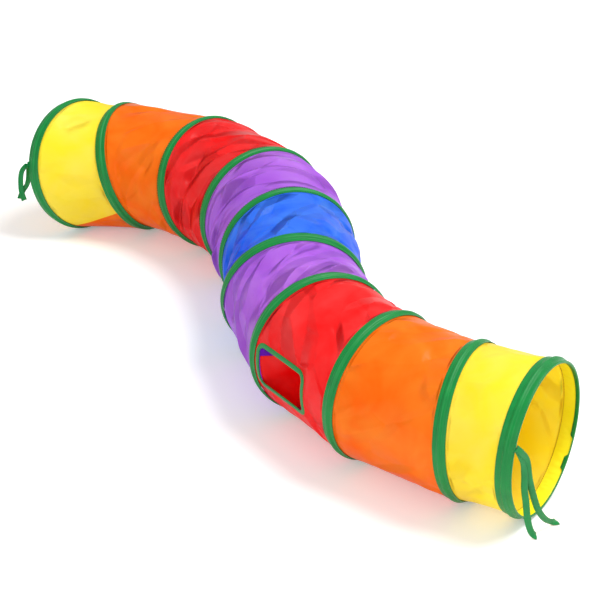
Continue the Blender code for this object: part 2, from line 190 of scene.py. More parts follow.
def woven_tape(name, colour, shade):
    """Polyester tape, woven with fine ribs across it: a soft satin, a little uneven in its dye."""
    made, tree = bare_finish(name)
    weave = add_node(tree, "ShaderNodeUVMap", uv_map="weave").outputs["UV"]
    # A wave texture repeats 10 / pi times its scale in a metre, and a noise about as often as its
    # scale: here ribs 0.9 mm apart, and dye in patches of 22 mm
    ribs = add_node(
        tree,
        "ShaderNodeTexWave",
        {"Vector": weave, "Scale": pi / (10 * WEAVE_RIB), "Distortion": 0.5},
        bands_direction="X",
    )
    place = add_node(tree, "ShaderNodeTexCoord").outputs["Object"]
    dye = add_node(tree, "ShaderNodeTexNoise", {"Vector": place, "Scale": 45.0, "Detail": 3.0})
    tint = add_node(
        tree,
        "ShaderNodeMixRGB",
        {"Color1": linear(colour), "Color2": linear(shade), "Fac": dye.outputs["Fac"]},
    )
    bump = add_node(
        tree,
        "ShaderNodeBump",
        {"Height": ribs.outputs["Fac"], "Strength": 0.3, "Distance": WEAVE_RIB / 4},
    )
    surface = {
        "Base Color": tint.outputs["Color"],
        "Roughness": 0.38,
        "Specular IOR Level": 0.3,
        "Normal": bump.outputs["Normal"],
    }
    shader = add_node(tree, "ShaderNodeBsdfPrincipled", surface)
    add_node(tree, "ShaderNodeOutputMaterial", {"Surface": shader.outputs["BSDF"]})
    return made


tie_ribbon_finish = woven_tape("woven polyester tie ribbon", TIE_GREEN, TIE_SHADE)
thread_finish = woven_tape("twisted polyester sewing thread", THREAD_GREEN, THREAD_GREEN)


def finished(name, bm, surface, thickness=0.0, offset=0.0):
    """The object of a finished bmesh, at the origin, smooth, and with a wall if it is a sheet."""
    mesh = bpy.data.meshes.new(name)
    bm.to_mesh(mesh)
    bm.free()
    mesh.shade_smooth()
    mesh.set_sharp_from_angle(angle=radians(60.0))
    mesh.materials.append(surface)
    obj = bpy.data.objects.new(name, mesh)
    bpy.context.scene.collection.objects.link(obj)
    if thickness:
        wall = obj.modifiers.new("cloth thickness", "SOLIDIFY")
        wall.thickness = thickness
        wall.offset = offset
    return obj


def smooth_route(points):
    """Points along a smooth curve through the given ones."""
    ends = [2 * points[0] - points[1], *points, 2 * points[-1] - points[-2]]
    route = []
    for before, start, end, after in zip(ends, ends[1:], ends[2:], ends[3:]):
        for k in range(RIBBON_STEPS):
            t = k / RIBBON_STEPS
            bend = (before * -1 + start * 3 - end * 3 + after) * t**3
            swing = (before * 2 - start * 5 + end * 4 - after) * t**2
            route.append((start * 2 + (end - before) * t + swing + bend) / 2)
    return route + [points[-1]]


def add_tie_ribbon(node, hoop, angle, outwards, layer, twist, points):
    """A ribbon from a narrow grid, cupped across its width. It twists as it leaves its tab, and
    turns to lie flat near the floor."""
    turn = radians(angle)
    place = hoops[hoop]
    rim = place @ Vector((TIE_RADIUS * cos(turn), TIE_RADIUS * sin(turn), outwards * MOUTH_EDGE))
    ahead = Vector((place[0][2], place[1][2], 0.0)).normalized()
    across, out = ahead.cross(Vector((0.0, 0.0, -1.0))), ahead * outwards
    stack = TIE_GAP + TAB_THICKNESS + (layer + 0.5) * RIBBON_STACK + (layer + 1) * TIE_GAP
    route = [rim + out * stack]
    for sideways, outward, height in points:
        point = rim + across * sideways + out * outward
        route.append(Vector((point.x, point.y, height)))
    route = smooth_route(route)
    length = sum((b - a).length for a, b in zip(route, route[1:]))
    last = len(route) - 1

    bm = bmesh.new()
    bmesh.ops.create_grid(bm, x_segments=6, y_segments=last, size=1.0)
    weave = bm.loops.layers.uv.new("weave")
    for face in bm.faces:
        for loop in face.loops:
            side, along = loop.vert.co.xy
            loop[weave].uv = ((along + 1) / 2 * length, side * RIBBON_WIDTH / 2)
    for v in bm.verts:
        side, k = v.co.x, round((v.co.y + 1) / 2 * last)
        tangent = (route[min(k + 1, last)] - route[max(k - 1, 0)]).normalized()
        lay = max(0.0, 1.0 - route[k].z / RIBBON_LAY_HEIGHT)
        twist_here = radians(twist) * min(1.0, k / last / RIBBON_TWIST_SHARE)
        twisted = Matrix.Rotation(twist_here, 3, "Z") @ out
        half = twisted.lerp(Vector((0.0, 0.0, 1.0)), lay).cross(tangent).normalized()
        cup = half.cross(tangent) * RIBBON_CUP * (side * side - CUP_LEVEL)
        v.co = route[k] + half * side * RIBBON_WIDTH / 2 + cup
    ribbon = finished(node.replace("ribbon", "tie_ribbon"), bm, tie_ribbon_finish, RIBBON_THICKNESS)
    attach(ribbon, f"section_{hoop}")
    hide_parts(node)


def add_tie_tab(node, hoop, angle, outwards):
    """The folded tab against the rim, and the bar tack through the pair of ribbons and the tab."""
    seat = hoops[hoop] @ Matrix.Rotation(radians(angle), 4, "Z")
    block = Matrix.Diagonal((TAB_DEPTH, TAB_LENGTH, TAB_THICKNESS, 1.0))
    bm = bmesh.new()
    bmesh.ops.create_cube(bm, size=1.0, matrix=block)
    bmesh.ops.bevel(
        bm, geom=bm.edges[:], offset=TAB_EDGE, segments=3, profile=0.5, affect="EDGES", material=-1
    )
    weave = bm.loops.layers.uv.new("weave")
    for face in bm.faces:
        for loop in face.loops:
            loop[weave].uv = loop.vert.co.yx
    lift = outwards * (MOUTH_EDGE + TIE_GAP + TAB_THICKNESS / 2)
    sewn = seat @ Matrix.Translation((TIE_RADIUS, 0.0, lift))
    bmesh.ops.transform(bm, matrix=sewn, verts=bm.verts)
    tab = finished(f"{node}_folded", bm, tie_ribbon_finish)
    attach(tab, f"section_{hoop}")
    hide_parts(node)

    bm = bmesh.new()
    lift = outwards * (MOUTH_EDGE + TAB_THICKNESS + 4 * TIE_GAP + 2 * RIBBON_THICKNESS)
    for k in range(TACK_THREADS):
        across = (k - (TACK_THREADS - 1) / 2) * TACK_PITCH
        spot = seat @ Matrix.Translation((TIE_RADIUS, across, lift))
        thread = spot @ Matrix.Diagonal((*TACK_THREAD_HALF, 1.0))
        bmesh.ops.create_icosphere(bm, subdivisions=2, radius=1.0, matrix=thread)
    bm.loops.layers.uv.new("weave")
    tack = finished(f"{node}_bar_tack", bm, thread_finish)
    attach(tack, f"section_{hoop}")


add_tie_tab("far_tie_tab", 1, FAR_TIE_ANGLE, -1.0)
add_tie_tab("near_tie_tab", NEAR, NEAR_TIE_ANGLE, 1.0)
add_tie_ribbon("far_ribbon_a", 1, FAR_TIE_ANGLE, -1.0, 0, -25.0, FAR_RIBBON_A)
add_tie_ribbon("far_ribbon_b", 1, FAR_TIE_ANGLE, -1.0, 1, -25.0, FAR_RIBBON_B)
add_tie_ribbon("near_ribbon_a", NEAR, NEAR_TIE_ANGLE, 1.0, 0, -55.0, NEAR_RIBBON_A)
add_tie_ribbon("near_ribbon_b", NEAR, NEAR_TIE_ANGLE, 1.0, 1, -60.0, NEAR_RIBBON_B)

# Cloth panels: tubes of shiny 190T polyester taffeta, thin enough to let light through. Each is
# sewn on under the tapes at both ends. The cloth is drawn in a little between the hoops, keeps the
# sharp creases of its storage, and gathers in short puckers along the seams.
# Each panel's colour, its dye, and a paler lit copy of the dye that is painted in patches as sheen
PANELS = (
    ("yellow", "FFF034", "FFF262"),
    ("orange", "FF7E04", "FF9E2C"),
    ("red", "FE0C0E", "FF4646"),
    ("purple", "C46EF0", "D892F8"),
    ("blue", "126CFC", "56A0FF"),
    ("purple", "C46EF0", "D892F8"),
    ("red", "FE0C0E", "FF4646"),
    ("orange", "FF7E04", "FF9E2C"),
    ("yellow", "FFF034", "FFF262"),
)
CLOTH_RADIUS = 0.1189
CLOTH_THICKNESS = 0.0004
CLOTH_SHOWN_THROUGH = 0.5
WAIST_DEPTH = 0.0015
# Where the tunnel bends, its outer side stands out between the hoops
BULGES = {3: 0.004, 4: 0.010, 5: 0.004}
BULGE_TURN = 20.0
SEAM_HALF = 0.0125
MOUTH_SEAM_HALF = 0.0145
MOUTH_CLOTH_EDGE = 0.0114
SEAM_GAP = 0.0003
CLOTH_AROUND = 288
CLOTH_CELL = 0.0030
SEAM_ROWS = 4
# Each panel's long flat facets: their slant from the hoops in degrees, length, width and depth as
# the light shows them, and the depth of its small folds
CREASES = {
    1: (-62.0, 0.170, 0.050, 0.0085, 0.0010),
    2: (-55.0, 0.150, 0.050, 0.0110, 0.0010),
    3: (-28.0, 0.120, 0.042, 0.0300, 0.0012),
    4: (-24.0, 0.140, 0.046, 0.0350, 0.0014),
    5: (50.0, 0.075, 0.048, 0.0260, 0.0022),
    6: (38.0, 0.110, 0.042, 0.0260, 0.0018),
    7: (40.0, 0.090, 0.042, 0.0210, 0.0014),
    8: (-52.0, 0.140, 0.048, 0.0125, 0.0010),
    9: (-55.0, 0.120, 0.044, 0.0095, 0.0010),
}
SMALL_FOLD_LENGTH = 0.055
SMALL_FOLD_SPACING = 0.028
# Folds are faint and strong by turns in patches this far apart, and fade out towards the hoops and
# at the cloth's join
FOLD_PATCH = 0.085
FAINTEST_FACET = 0.3
FAINTEST_SMALL_FOLD = 0.45
SMALL_FOLD_GAIN = 1.1
# The folds go from faint to strong between these values of the patches' noise
FACET_PATCHES = (-0.2, 0.16)
SMALL_FOLD_PATCHES = (-0.25, 0.25)
FREE_SHARE = 0.22
FOLD_JOIN_TURN = 0.35
# How much of a facet's depth the mesh has, more where a bend leaves the cloth slack
FOLD_LIFT = 0.6
LEAST_LOOSE = 0.36
MOST_LOOSE = 0.75
SLACK_FOLDS = 1.2
PUCKER_SPACING = 0.008
PUCKER_DEPTH = 0.0009
PUCKER_START = 0.002
PUCKER_REACH = 0.009
FLOOR_CLEARANCE = 0.0014
# The real threads are about 0.1 mm apart. They are drawn coarser, so that they show close up.
TAFFETA_THREAD = 0.0007
# Painted orange shade under the far yellow panel: turns of the strip's top edge at both seams and
# of its lower edge
PAINTED_SHADE_TURNS = (228.0, 219.0, 285.0)
PAINTED_SHADE_LIFT = 0.0005


def taffeta(name, colour, lit, shown_through):
    """Shiny plain-weave polyester: a broad soft gloss, a glow of the light behind it, and a painted
    sheen: the colour goes paler towards its lit copy in random patches. The mesh's own long facets
    are deepened, because thin shiny cloth shows a slight crease strongly."""
    made, tree = bare_finish(name)
    weave = add_node(tree, "ShaderNodeUVMap", uv_map="weave").outputs["UV"]
    thread = {"Vector": weave, "Scale": pi / (10 * TAFFETA_THREAD)}
    warp = add_node(tree, "ShaderNodeTexWave", thread, bands_direction="X")
    weft = add_node(tree, "ShaderNodeTexWave", thread, bands_direction="Y")
    threads = add_node(
        tree,
        "ShaderNodeMath",
        {0: warp.outputs["Fac"], 1: weft.outputs["Fac"]},
        operation="MULTIPLY",
    )
    # Patches of painted sheen are 70 mm across
    place = add_node(tree, "ShaderNodeTexCoord").outputs["Object"]
    sheen_patches = add_node(
        tree,
        "ShaderNodeTexNoise",
        {"Vector": place, "Scale": 14.0, "Detail": 3.0, "Distortion": 0.6},
    )
    painted_sheen = add_node(tree, "ShaderNodeValToRGB", {"Fac": sheen_patches.outputs["Fac"]})
    painted_sheen.color_ramp.elements[0].position = 0.30
    painted_sheen.color_ramp.elements[0].color = linear(colour)
    painted_sheen.color_ramp.elements[1].position = 0.72
    painted_sheen.color_ramp.elements[1].color = linear(lit)
    folds = add_node(tree, "ShaderNodeAttribute", attribute_name="folds").outputs["Fac"]
    bump = add_node(tree, "ShaderNodeBump", {"Height": folds, "Distance": 1.0})
    bump = add_node(
        tree,
        "ShaderNodeBump",
        {
            "Height": threads.outputs["Value"],
            "Strength": 0.2,
            "Distance": TAFFETA_THREAD / 5,
            "Normal": bump.outputs["Normal"],
        },
    )
    surface = {
        "Base Color": painted_sheen.outputs["Color"],
        "Roughness": 0.28,
        "Specular IOR Level": 0.15,
        "Normal": bump.outputs["Normal"],
    }
    shader = add_node(tree, "ShaderNodeBsdfPrincipled", surface)
    through = add_node(
        tree,
        "ShaderNodeBsdfTranslucent",
        {"Color": painted_sheen.outputs["Color"], "Normal": bump.outputs["Normal"]},
    )
    mixed = add_node(
        tree,
        "ShaderNodeMixShader",
        {"Fac": shown_through, 1: shader.outputs["BSDF"], 2: through.outputs["BSDF"]},
    )
    add_node(tree, "ShaderNodeOutputMaterial", {"Surface": mixed.outputs["Shader"]})
    return made


cloths = {}
for number, (colour, base, lit) in enumerate(PANELS, 1):
    name = f"{colour} polyester taffeta, panel {number}"
    cloths[number] = taffeta(name, base, lit, CLOTH_SHOWN_THROUGH)


def wound_sheet(rows, around, closed=False):
    """A tube of quads spun from a line of edges, or from a closed ring of them: z counts the rows,
    and points keep their turn."""
    bm = bmesh.new()
    line = [bm.verts.new((1.0, 0.0, float(row))) for row in range(rows)]
    following = line[1:] + line[:1] if closed else line[1:]
    edges = [bm.edges.new(pair) for pair in zip(line, following)]
    bmesh.ops.spin(
        bm,
        geom=line + edges,
        cent=(0, 0, 0),
        axis=(0, 0, 1),
        angle=2 * pi,
        steps=around,
        use_merge=True,
    )
    return bm


def lay_weave(bm, radius, lengths):
    """UVs in metres along the weave, from the turn round the tube and the length down to each row.
    They join at the bottom."""
    weave = bm.loops.layers.uv.new("weave")
    for face in bm.faces:
        middle = face.calc_center_median()
        facing = (atan2(middle.y, middle.x) + pi / 2) % (2 * pi) - pi / 2
        for loop in face.loops:
            turn = atan2(loop.vert.co.y, loop.vert.co.x)
            turn += 2 * pi * round((facing - turn) / (2 * pi))
            loop[weave].uv = (turn * radius, lengths[round(loop.vert.co.z)])


def smoothstep(low, high, value):
    """How far a value has gone from low to high, easing in and out."""
    t = min(1.0, max(0.0, (value - low) / (high - low)))
    return t * t * (3 - 2 * t)


def seam_half(hoop):
    """Half of the width that is sewn under a hoop's tape."""
    return MOUTH_SEAM_HALF if hoop in (1, NEAR) else SEAM_HALF


def cloth_rows(number):
    """Each row of a panel as its offset from the first hoop, its share of the way, and its offset
    from the last hoop. Rows under a tape have only their own hoop's offset."""
    first_edge = -MOUTH_CLOTH_EDGE if number == 1 else SEAM_GAP
    last_edge = MOUTH_CLOTH_EDGE if number == len(PANELS) else -SEAM_GAP
    first_seam, last_seam = seam_half(number), seam_half(number + 1)
    apart = (hoops[number + 1].translation - hoops[number].translation).length
    steps = round((apart - first_seam - last_seam) / CLOTH_CELL)
    rows = []
    for k in range(SEAM_ROWS):
        rows.append((first_edge + (first_seam - first_edge) * k / SEAM_ROWS, 0.0, None))
    for k in range(steps + 1):
        rows.append((first_seam, k / steps, -last_seam))
    for k in range(1, SEAM_ROWS + 1):
        rows.append((None, 1.0, -last_seam + (last_edge + last_seam) * k / SEAM_ROWS))
    return rows, apart


def cloth_point(number, row, turn, radius):
    """A point of the smooth cloth and the way out of the tunnel there."""
    first_offset, share, last_offset = row
    way = Vector((cos(turn), sin(turn), 0.0))
    first, last = hoops[number], hoops[number + 1]
    if last_offset is None:
        return first @ (way * radius + Vector((0, 0, first_offset))), first.to_3x3() @ way
    if first_offset is None:
        return last @ (way * radius + Vector((0, 0, last_offset))), last.to_3x3() @ way
    start = first @ (way * radius + Vector((0, 0, first_offset)))
    end = last @ (way * radius + Vector((0, 0, last_offset)))
    out = (first.to_3x3() @ way).lerp(last.to_3x3() @ way, share).normalized()
    return start.lerp(end, share), out


def flat_facets(at, seed):
    """Flat facets that meet in sharp ridges and valleys, as in cloth that was stored folded: the
    squared distance to one scatter of points less that to another."""
    near = noise.voronoi(at + seed, distance_metric="DISTANCE_SQUARED")[0][0]
    far = noise.voronoi(at - seed, distance_metric="DISTANCE_SQUARED")[0][0]
    return near - far


def crease_height(number, share, along, apart, turn, slack):
    """How far long facets, small folds and puckers lift the cloth, and the full depth of the long
    facets for its finish. Folds are laid out on the flat cloth, which joins at the bottom."""
    slant, length, width, depth, small_depth = CREASES[number]
    facing = (turn + pi / 2) % (2 * pi) - pi / 2
    laid = Matrix.Rotation(-radians(slant), 2) @ Vector((facing * CLOTH_RADIUS, along))
    around = Vector((cos(turn), sin(turn), 0.0)) * CLOTH_RADIUS
    # A far-off part of the noise for each panel, so that no two are creased alike
    seed = Vector((number * 3.7 + 11.3, number * 1.9 + 5.1, number * 7.1 + 2.7))
    fold = flat_facets(Vector((laid.x / length, laid.y / width, 0.0)), seed)
    fine_at = Vector((laid.x / SMALL_FOLD_LENGTH, laid.y / SMALL_FOLD_SPACING, 0.0))
    fine = flat_facets(fine_at, seed * 2)
    joined = smoothstep(0.0, FOLD_JOIN_TURN, min(facing + pi / 2, 3 * pi / 2 - facing))
    free = smoothstep(0.0, FREE_SHARE, share) * smoothstep(0.0, FREE_SHARE, 1 - share)
    nearest = min(share, 1 - share) * apart
    pucker = noise.noise(around / PUCKER_SPACING + seed)
    pull = exp(-nearest / PUCKER_REACH) * min(1.0, nearest / PUCKER_START)
    patch = noise.noise((around + Vector((0, 0, along))) / FOLD_PATCH + seed * 3)
    strong = FAINTEST_FACET + (1 - FAINTEST_FACET) * smoothstep(*FACET_PATCHES, patch)
    small_strong = FAINTEST_SMALL_FOLD + SMALL_FOLD_GAIN * smoothstep(*SMALL_FOLD_PATCHES, patch)
    loose = min(MOST_LOOSE, LEAST_LOOSE + SLACK_FOLDS * slack)
    facet = fold * depth * strong * joined
    small = fine * small_depth * small_strong * joined
    return (facet * FOLD_LIFT + small) * loose * free + pucker * PUCKER_DEPTH * pull, facet


# The window: a rounded opening in the side of the second red panel, 116 mm by 64 mm inside a green
# tape that is folded round the cut edge of the cloth and stitched through.
WINDOW_PANEL = 7
WINDOW_WIDTH = 0.116
WINDOW_HEIGHT = 0.064
WINDOW_CORNER = 0.010
WINDOW_FLAT = 0.025
WINDOW_SETBACK = 0.080
WINDOW_DROP = 0.003
WINDOW_SIDE_RADIUS = 0.1204
WINDOW_TAPE_WIDTH = 0.008
WINDOW_STEPS = 220
WINDOW_CLOTH_EDGE = 0.004


def window_place():
    """A matrix at the window's middle: X along the wall, Y up, Z out of the wall."""
    side = Vector((-WINDOW_SIDE_RADIUS, 0.0, 0.0))
    seam = Vector((0.0, 0.0, SEAM_HALF))
    start = hoops[WINDOW_PANEL] @ (side + seam)
    end = hoops[WINDOW_PANEL + 1] @ (side - seam)
    along = Vector((end.x - start.x, end.y - start.y, 0.0)).normalized()
    up = Vector((0.0, 0.0, 1.0))
    place = Matrix((along, up, along.cross(up))).transposed().to_4x4()
    place.translation = start + along * (WINDOW_SETBACK - SEAM_HALF) - up * WINDOW_DROP
    return place


window = window_place()
to_window = window.inverted()


def outside_window(point):
    """Distance of a point from the clear window in the window's plane, less than 0 inside it."""
    local = to_window @ point
    # The tunnel's other side is never cut
    if local.z < -WINDOW_SIDE_RADIUS / 2:
        return 1.0
    x = abs(local.x) - WINDOW_WIDTH / 2 + WINDOW_CORNER
    y = abs(local.y) - WINDOW_HEIGHT / 2 + WINDOW_CORNER
    beyond = Vector((max(x, 0.0), max(y, 0.0))).length
    return beyond + min(max(x, y), 0.0) - WINDOW_CORNER


def panel_mesh(number):
    """A panel's creased cloth, and how far apart its hoops are. Each point keeps its facet's full
    depth for the finish, and the bend's slack cloth and the outer side's bulge are in its shape."""
    rows, apart = cloth_rows(number)
    bm = wound_sheet(len(rows), CLOTH_AROUND)
    steps = len(rows) - 2 * SEAM_ROWS - 1
    lengths = [apart * (k - SEAM_ROWS) / steps for k in range(len(rows))]
    lay_weave(bm, CLOTH_RADIUS, lengths)
    bend = hoops[number].to_3x3().transposed() @ hoops[number + 1].col[2].xyz
    shortfall = Vector((bend.x, bend.y)) * CLOTH_RADIUS / apart
    folds = bm.verts.layers.float.new("folds")
    for v in bm.verts:
        turn, k = atan2(v.co.y, v.co.x), round(v.co.z)
        share = rows[k][1]
        bulge = BULGES.get(number, 0.0) * max(0.0, cos(turn - radians(BULGE_TURN)))
        waist = WAIST_DEPTH - bulge
        slack = shortfall.length + shortfall.dot(Vector((cos(turn), sin(turn))))
        point, out = cloth_point(number, rows[k], turn, CLOTH_RADIUS - waist * sin(pi * share))
        if 0.0 < share < 1.0:
            height, v[folds] = crease_height(number, share, lengths[k], apart, turn, slack)
            if number == WINDOW_PANEL:
                height *= smoothstep(WINDOW_TAPE_WIDTH, WINDOW_FLAT, outside_window(point))
            point += out * height
            point.z = max(point.z, FLOOR_CLEARANCE)
        v.co = point
    bmesh.ops.recalc_face_normals(bm, faces=bm.faces)
    return bm, apart


def add_painted_shade_strip(far_panel):
    """Painted shade: a copy of the far yellow panel lifted just off it, cut to a strip along its
    lower side and given the orange taffeta finish, for the orange-tinted shade there. It reaches
    under the tapes at both seams.
    """
    bm = far_panel.copy()
    bm.normal_update()
    for v in bm.verts:
        v.co += v.normal * PAINTED_SHADE_LIFT
    start, end, last_turn = (radians(turn) for turn in PAINTED_SHADE_TURNS)
    ends = (hoops[1], start), (hoops[2], end), (hoops[1], last_turn), (hoops[2], last_turn)
    edges = [place @ Vector((cos(turn), sin(turn), 0.0)) for place, turn in ends]
    axis = (hoops[1].translation + hoops[2].translation) / 2
    for near, far, side in ((edges[0], edges[1], -1.0), (edges[2], edges[3], 1.0)):
        cut = (near - axis).cross(far - axis) * side
        whole = bm.verts[:] + bm.edges[:] + bm.faces[:]
        bmesh.ops.bisect_plane(bm, geom=whole, plane_co=axis, plane_no=cut, clear_inner=True)
    strip = finished("painted_shade_strip", bm, cloths[2], CLOTH_THICKNESS)
    blend_across(strip)
    return strip


def add_panel(number):
    """One panel, sewn to its two hoops. It gives back the window panel's uncut wall."""
    colour = PANELS[number - 1][0]
    bm, apart = panel_mesh(number)
    wall = BVHTree.FromBMesh(bm) if number == WINDOW_PANEL else None
    if wall:
        gone = [f for f in bm.faces if outside_window(f.calc_center_median()) < WINDOW_CLOTH_EDGE]
        bmesh.ops.delete(bm, geom=gone, context="FACES")
    # The far panel gets a strip of painted orange shade along its lower side
    extras = [add_painted_shade_strip(bm)] if number == 1 else []
    panel = finished(f"cloth_{number}_{colour}", bm, cloths[number], CLOTH_THICKNESS)
    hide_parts(f"panel_{number}_{colour}")
    blend_across(panel)
    return wall


def blend_across(piece):
    """The piece with its place baked into its mesh."""
    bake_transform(piece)


walls = {number: add_panel(number) for number in range(1, NEAR)}

# Binding tapes: 21 mm green tape, 25 mm at the mouths, sewn over each seam with a row of stitches
# along both edges. The hoop runs in a channel along its middle, which stands up as a ridge. At a
# mouth the tape is folded over the rim to the inside.
BINDING_GREEN = "008A3A"
BINDING_SHADE = "006E30"
TAPE_HALF = 0.0105
MOUTH_TAPE_HALF = 0.0125
TAPE_SURFACE = 0.1204
RIDGE_SURFACE = 0.12346
RIDGE_TOP = 0.0012
RIDGE_FOOT = 0.0040
TAPE_THICKNESS = 0.0007
TAPE_ROWS = 17
TAPE_AROUND = 288
# The tape is uneven by this much, about every 13 mm round the hoop and every 17 mm across
TAPE_WAVE = 0.00025
TAPE_WAVE_AROUND = 9
TAPE_WAVE_ACROSS = 60
STITCH_PITCH = 0.0046
STITCH_INSET = 0.0007
STITCH_DIP = 0.0003
STITCH_DIP_WIDTH = 0.003
# Half of a stitch: up from the tape, round the hoop and across the tape
STITCH_HALF = (0.00066, 0.00130, 0.00055)
# At a mouth the tape goes round the rim in these steps, out from the rim and from the middle
RIM_FOLD = ((0.0004, 0.1197), (0.0004, 0.1184))
LIP_RADIUS = 0.1176
FAR_LIP = 0.0040
NEAR_LIP = 0.0052
LIP_SLIP = 0.0048
LIP_WANDER = 0.0010
LIP_WANDER_AROUND = 1.6
# Degrees below level where the near lip starts and stops being slipped back, and being caught
LIP_SLIPPED = ((24.0, 27.0), (140.0, 150.0))
LIP_CAUGHT = ((39.0, 41.0), (50.0, 52.0))
binding_finish = woven_tape("woven polyester binding tape", BINDING_GREEN, BINDING_SHADE)


def within(start, stop, value):
    """1 between two edges, each of which eases over its own range, and 0 elsewhere."""
    return smoothstep(*start, value) * (1 - smoothstep(*stop, value))


def lip_depth(number, turn):
    """How much of the fold shows inside a mouth. At the near one it slips back in places."""
    way = Vector((cos(turn), sin(turn), 0.0))
    wander = noise.noise(way * LIP_WANDER_AROUND + Vector((0, 0, number))) * LIP_WANDER
    if number == 1:
        return FAR_LIP + wander
    low = degrees(-turn)
    slipped, caught = within(*LIP_SLIPPED, low), within(*LIP_CAUGHT, low)
    return NEAR_LIP - LIP_SLIP * slipped * (1 - caught) + wander * (1 - slipped)


def tape_profile(number):
    """Rows across a tape: offset along the tunnel, radius, and share of the lip inside a mouth."""
    half = MOUTH_TAPE_HALF if number in (1, NEAR) else TAPE_HALF
    rows = []
    for k in range(TAPE_ROWS):
        offset = half * (2 * k / (TAPE_ROWS - 1) - 1)
        lift = 1.0 - smoothstep(RIDGE_TOP, RIDGE_FOOT, abs(offset))
        rows.append((offset, TAPE_SURFACE + (RIDGE_SURFACE - TAPE_SURFACE) * lift, 0.0))
    if number in (1, NEAR):
        side = 1.0 if number == NEAR else -1.0
        fold = [(side * (half + beyond), radius, 0.0) for beyond, radius in RIM_FOLD]
        fold += [(side * half, LIP_RADIUS, share) for share in (0.0, 0.33, 0.66, 1.0)]
        rows = rows + fold if number == NEAR else fold[::-1] + rows
    return rows, half


def add_binding(number):
    """One hoop's tape and its two rows of stitches, each stitch a small bead of thread."""
    rows, half = tape_profile(number)
    bm = wound_sheet(len(rows), TAPE_AROUND)
    lay_weave(bm, TAPE_SURFACE, [offset for offset, _, _ in rows])
    inwards = -1.0 if number == NEAR else 1.0
    for v in bm.verts:
        turn = atan2(v.co.y, v.co.x)
        offset, radius, share = rows[round(v.co.z)]
        edge = smoothstep(half - STITCH_DIP_WIDTH, half, abs(offset))
        way = Vector((cos(turn), sin(turn), 0.0))
        wave_at = way * TAPE_WAVE_AROUND + Vector((0, 0, number + offset * TAPE_WAVE_ACROSS))
        wave = noise.noise(wave_at) * TAPE_WAVE
        offset += inwards * share * lip_depth(number, turn)
        v.co = hoops[number] @ (way * (radius - STITCH_DIP * edge + wave) + Vector((0, 0, offset)))
        v.co.z = max(v.co.z, FLOOR_CLEARANCE / 4)
    bmesh.ops.recalc_face_normals(bm, faces=bm.faces)
    tape = finished(f"tape_{number}", bm, binding_finish, TAPE_THICKNESS, -1.0)
    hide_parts(f"binding_{number}")
    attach(tape, f"section_{number}")

    bm = bmesh.new()
    stitches = round(2 * pi * TAPE_SURFACE / STITCH_PITCH)
    for k in range(stitches):
        turn = 2 * pi * (k + 0.5) / stitches
        for side in (-1.0, 1.0):
            seat = (
                hoops[number]
                @ Matrix.Rotation(turn, 4, "Z")
                @ Matrix.Translation((TAPE_SURFACE, 0.0, side * (half - STITCH_INSET)))
                @ Matrix.Diagonal((*STITCH_HALF, 1.0))
            )
            bmesh.ops.create_icosphere(bm, subdivisions=1, radius=1.0, matrix=seat)
    bm.loops.layers.uv.new("weave")
    row = finished(f"stitches_{number}", bm, thread_finish)
    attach(row, f"section_{number}")


for number in hoops:
    add_binding(number)

# Hems: inside each mouth the cloth is turned in behind the tape and stitched down 25 mm from the
# rim. Their yellow is painted greener for the green tape behind them and its shade, and they let
# no light through. They are a little puckered.
HEM_RADIUS = 0.1184
HEM_SWELL = 0.0009
HEM_EVEN_SHARE = 0.7
HEM_PUCKER_AROUND = 22
HEM_PUCKER_ACROSS = 1.5
HEM_THICKNESS = 0.0003
HEM_ROWS = 12
HEM_AROUND = 360
HEM_RIM_GAP = 0.0008
HEM_SEAM_REACH = 0.0003
HEM_TAPER = 0.0002
# The hem's stitches are real, but their brown is painted shadow, for the dark line along the hem's
# edge
HEM_SHADOW_THREAD = "8C6A12"
HEM_STITCH_PITCH = 0.00306
HEM_STITCH_HALF = (0.00055, 0.00130, 0.00055)
HEM_STITCH_RISE = 0.0005
HEM_STITCH_INSET = 0.0012
# The hem's colour is painted greener for the tape showing through, and it lets no light through
hem_finish = taffeta("yellow polyester taffeta over green tape", "F0EC1C", "F6F030", 0.0)
hem_thread_finish = woven_tape("sewing thread painted brown for the hem edge's shadow", HEM_SHADOW_THREAD, HEM_SHADOW_THREAD)
for name, hoop, inwards in (("far", 1, 1.0), ("near", NEAR, -1.0)):
    rim = -inwards * (MOUTH_TAPE_HALF - HEM_RIM_GAP)
    seam = inwards * (MOUTH_TAPE_HALF + HEM_SEAM_REACH)
    bm = wound_sheet(HEM_ROWS, HEM_AROUND)
    lay_weave(bm, HEM_RADIUS, [rim + (seam - rim) * k / (HEM_ROWS - 1) for k in range(HEM_ROWS)])
    for v in bm.verts:
        turn, share = atan2(v.co.y, v.co.x), v.co.z / (HEM_ROWS - 1)
        way = Vector((cos(turn), sin(turn), 0.0))
        pucker_at = way * HEM_PUCKER_AROUND + Vector((0, 0, share * HEM_PUCKER_ACROSS + hoop))
        uneven = HEM_EVEN_SHARE + noise.noise(pucker_at)
        swell = HEM_SWELL * sin(pi * share) * uneven + HEM_TAPER * share
        offset = Vector((0, 0, rim + (seam - rim) * share))
        v.co = hoops[hoop] @ (way * (HEM_RADIUS - swell) + offset)
    bmesh.ops.recalc_face_normals(bm, faces=bm.faces)
    hem = finished(f"{name}_hem", bm, hem_finish, HEM_THICKNESS, -1.0)
    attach(hem, f"section_{hoop}")

    bm = bmesh.new()
    stitches = round(2 * pi * HEM_RADIUS / HEM_STITCH_PITCH)
    first = Vector((HEM_RADIUS - HEM_STITCH_RISE, 0.0, seam - inwards * HEM_STITCH_INSET))
    for k in range(stitches):
        seat = (
            hoops[hoop]
            @ Matrix.Rotation(2 * pi * k / stitches, 4, "Z")
            @ Matrix.Translation(first)
            @ Matrix.Diagonal((*HEM_STITCH_HALF, 1.0))
        )
        bmesh.ops.create_icosphere(bm, subdivisions=1, radius=1.0, matrix=seat)
    bm.loops.layers.uv.new("weave")
    row = finished(f"{name}_hem_stitches", bm, hem_thread_finish)
    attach(row, f"section_{hoop}")

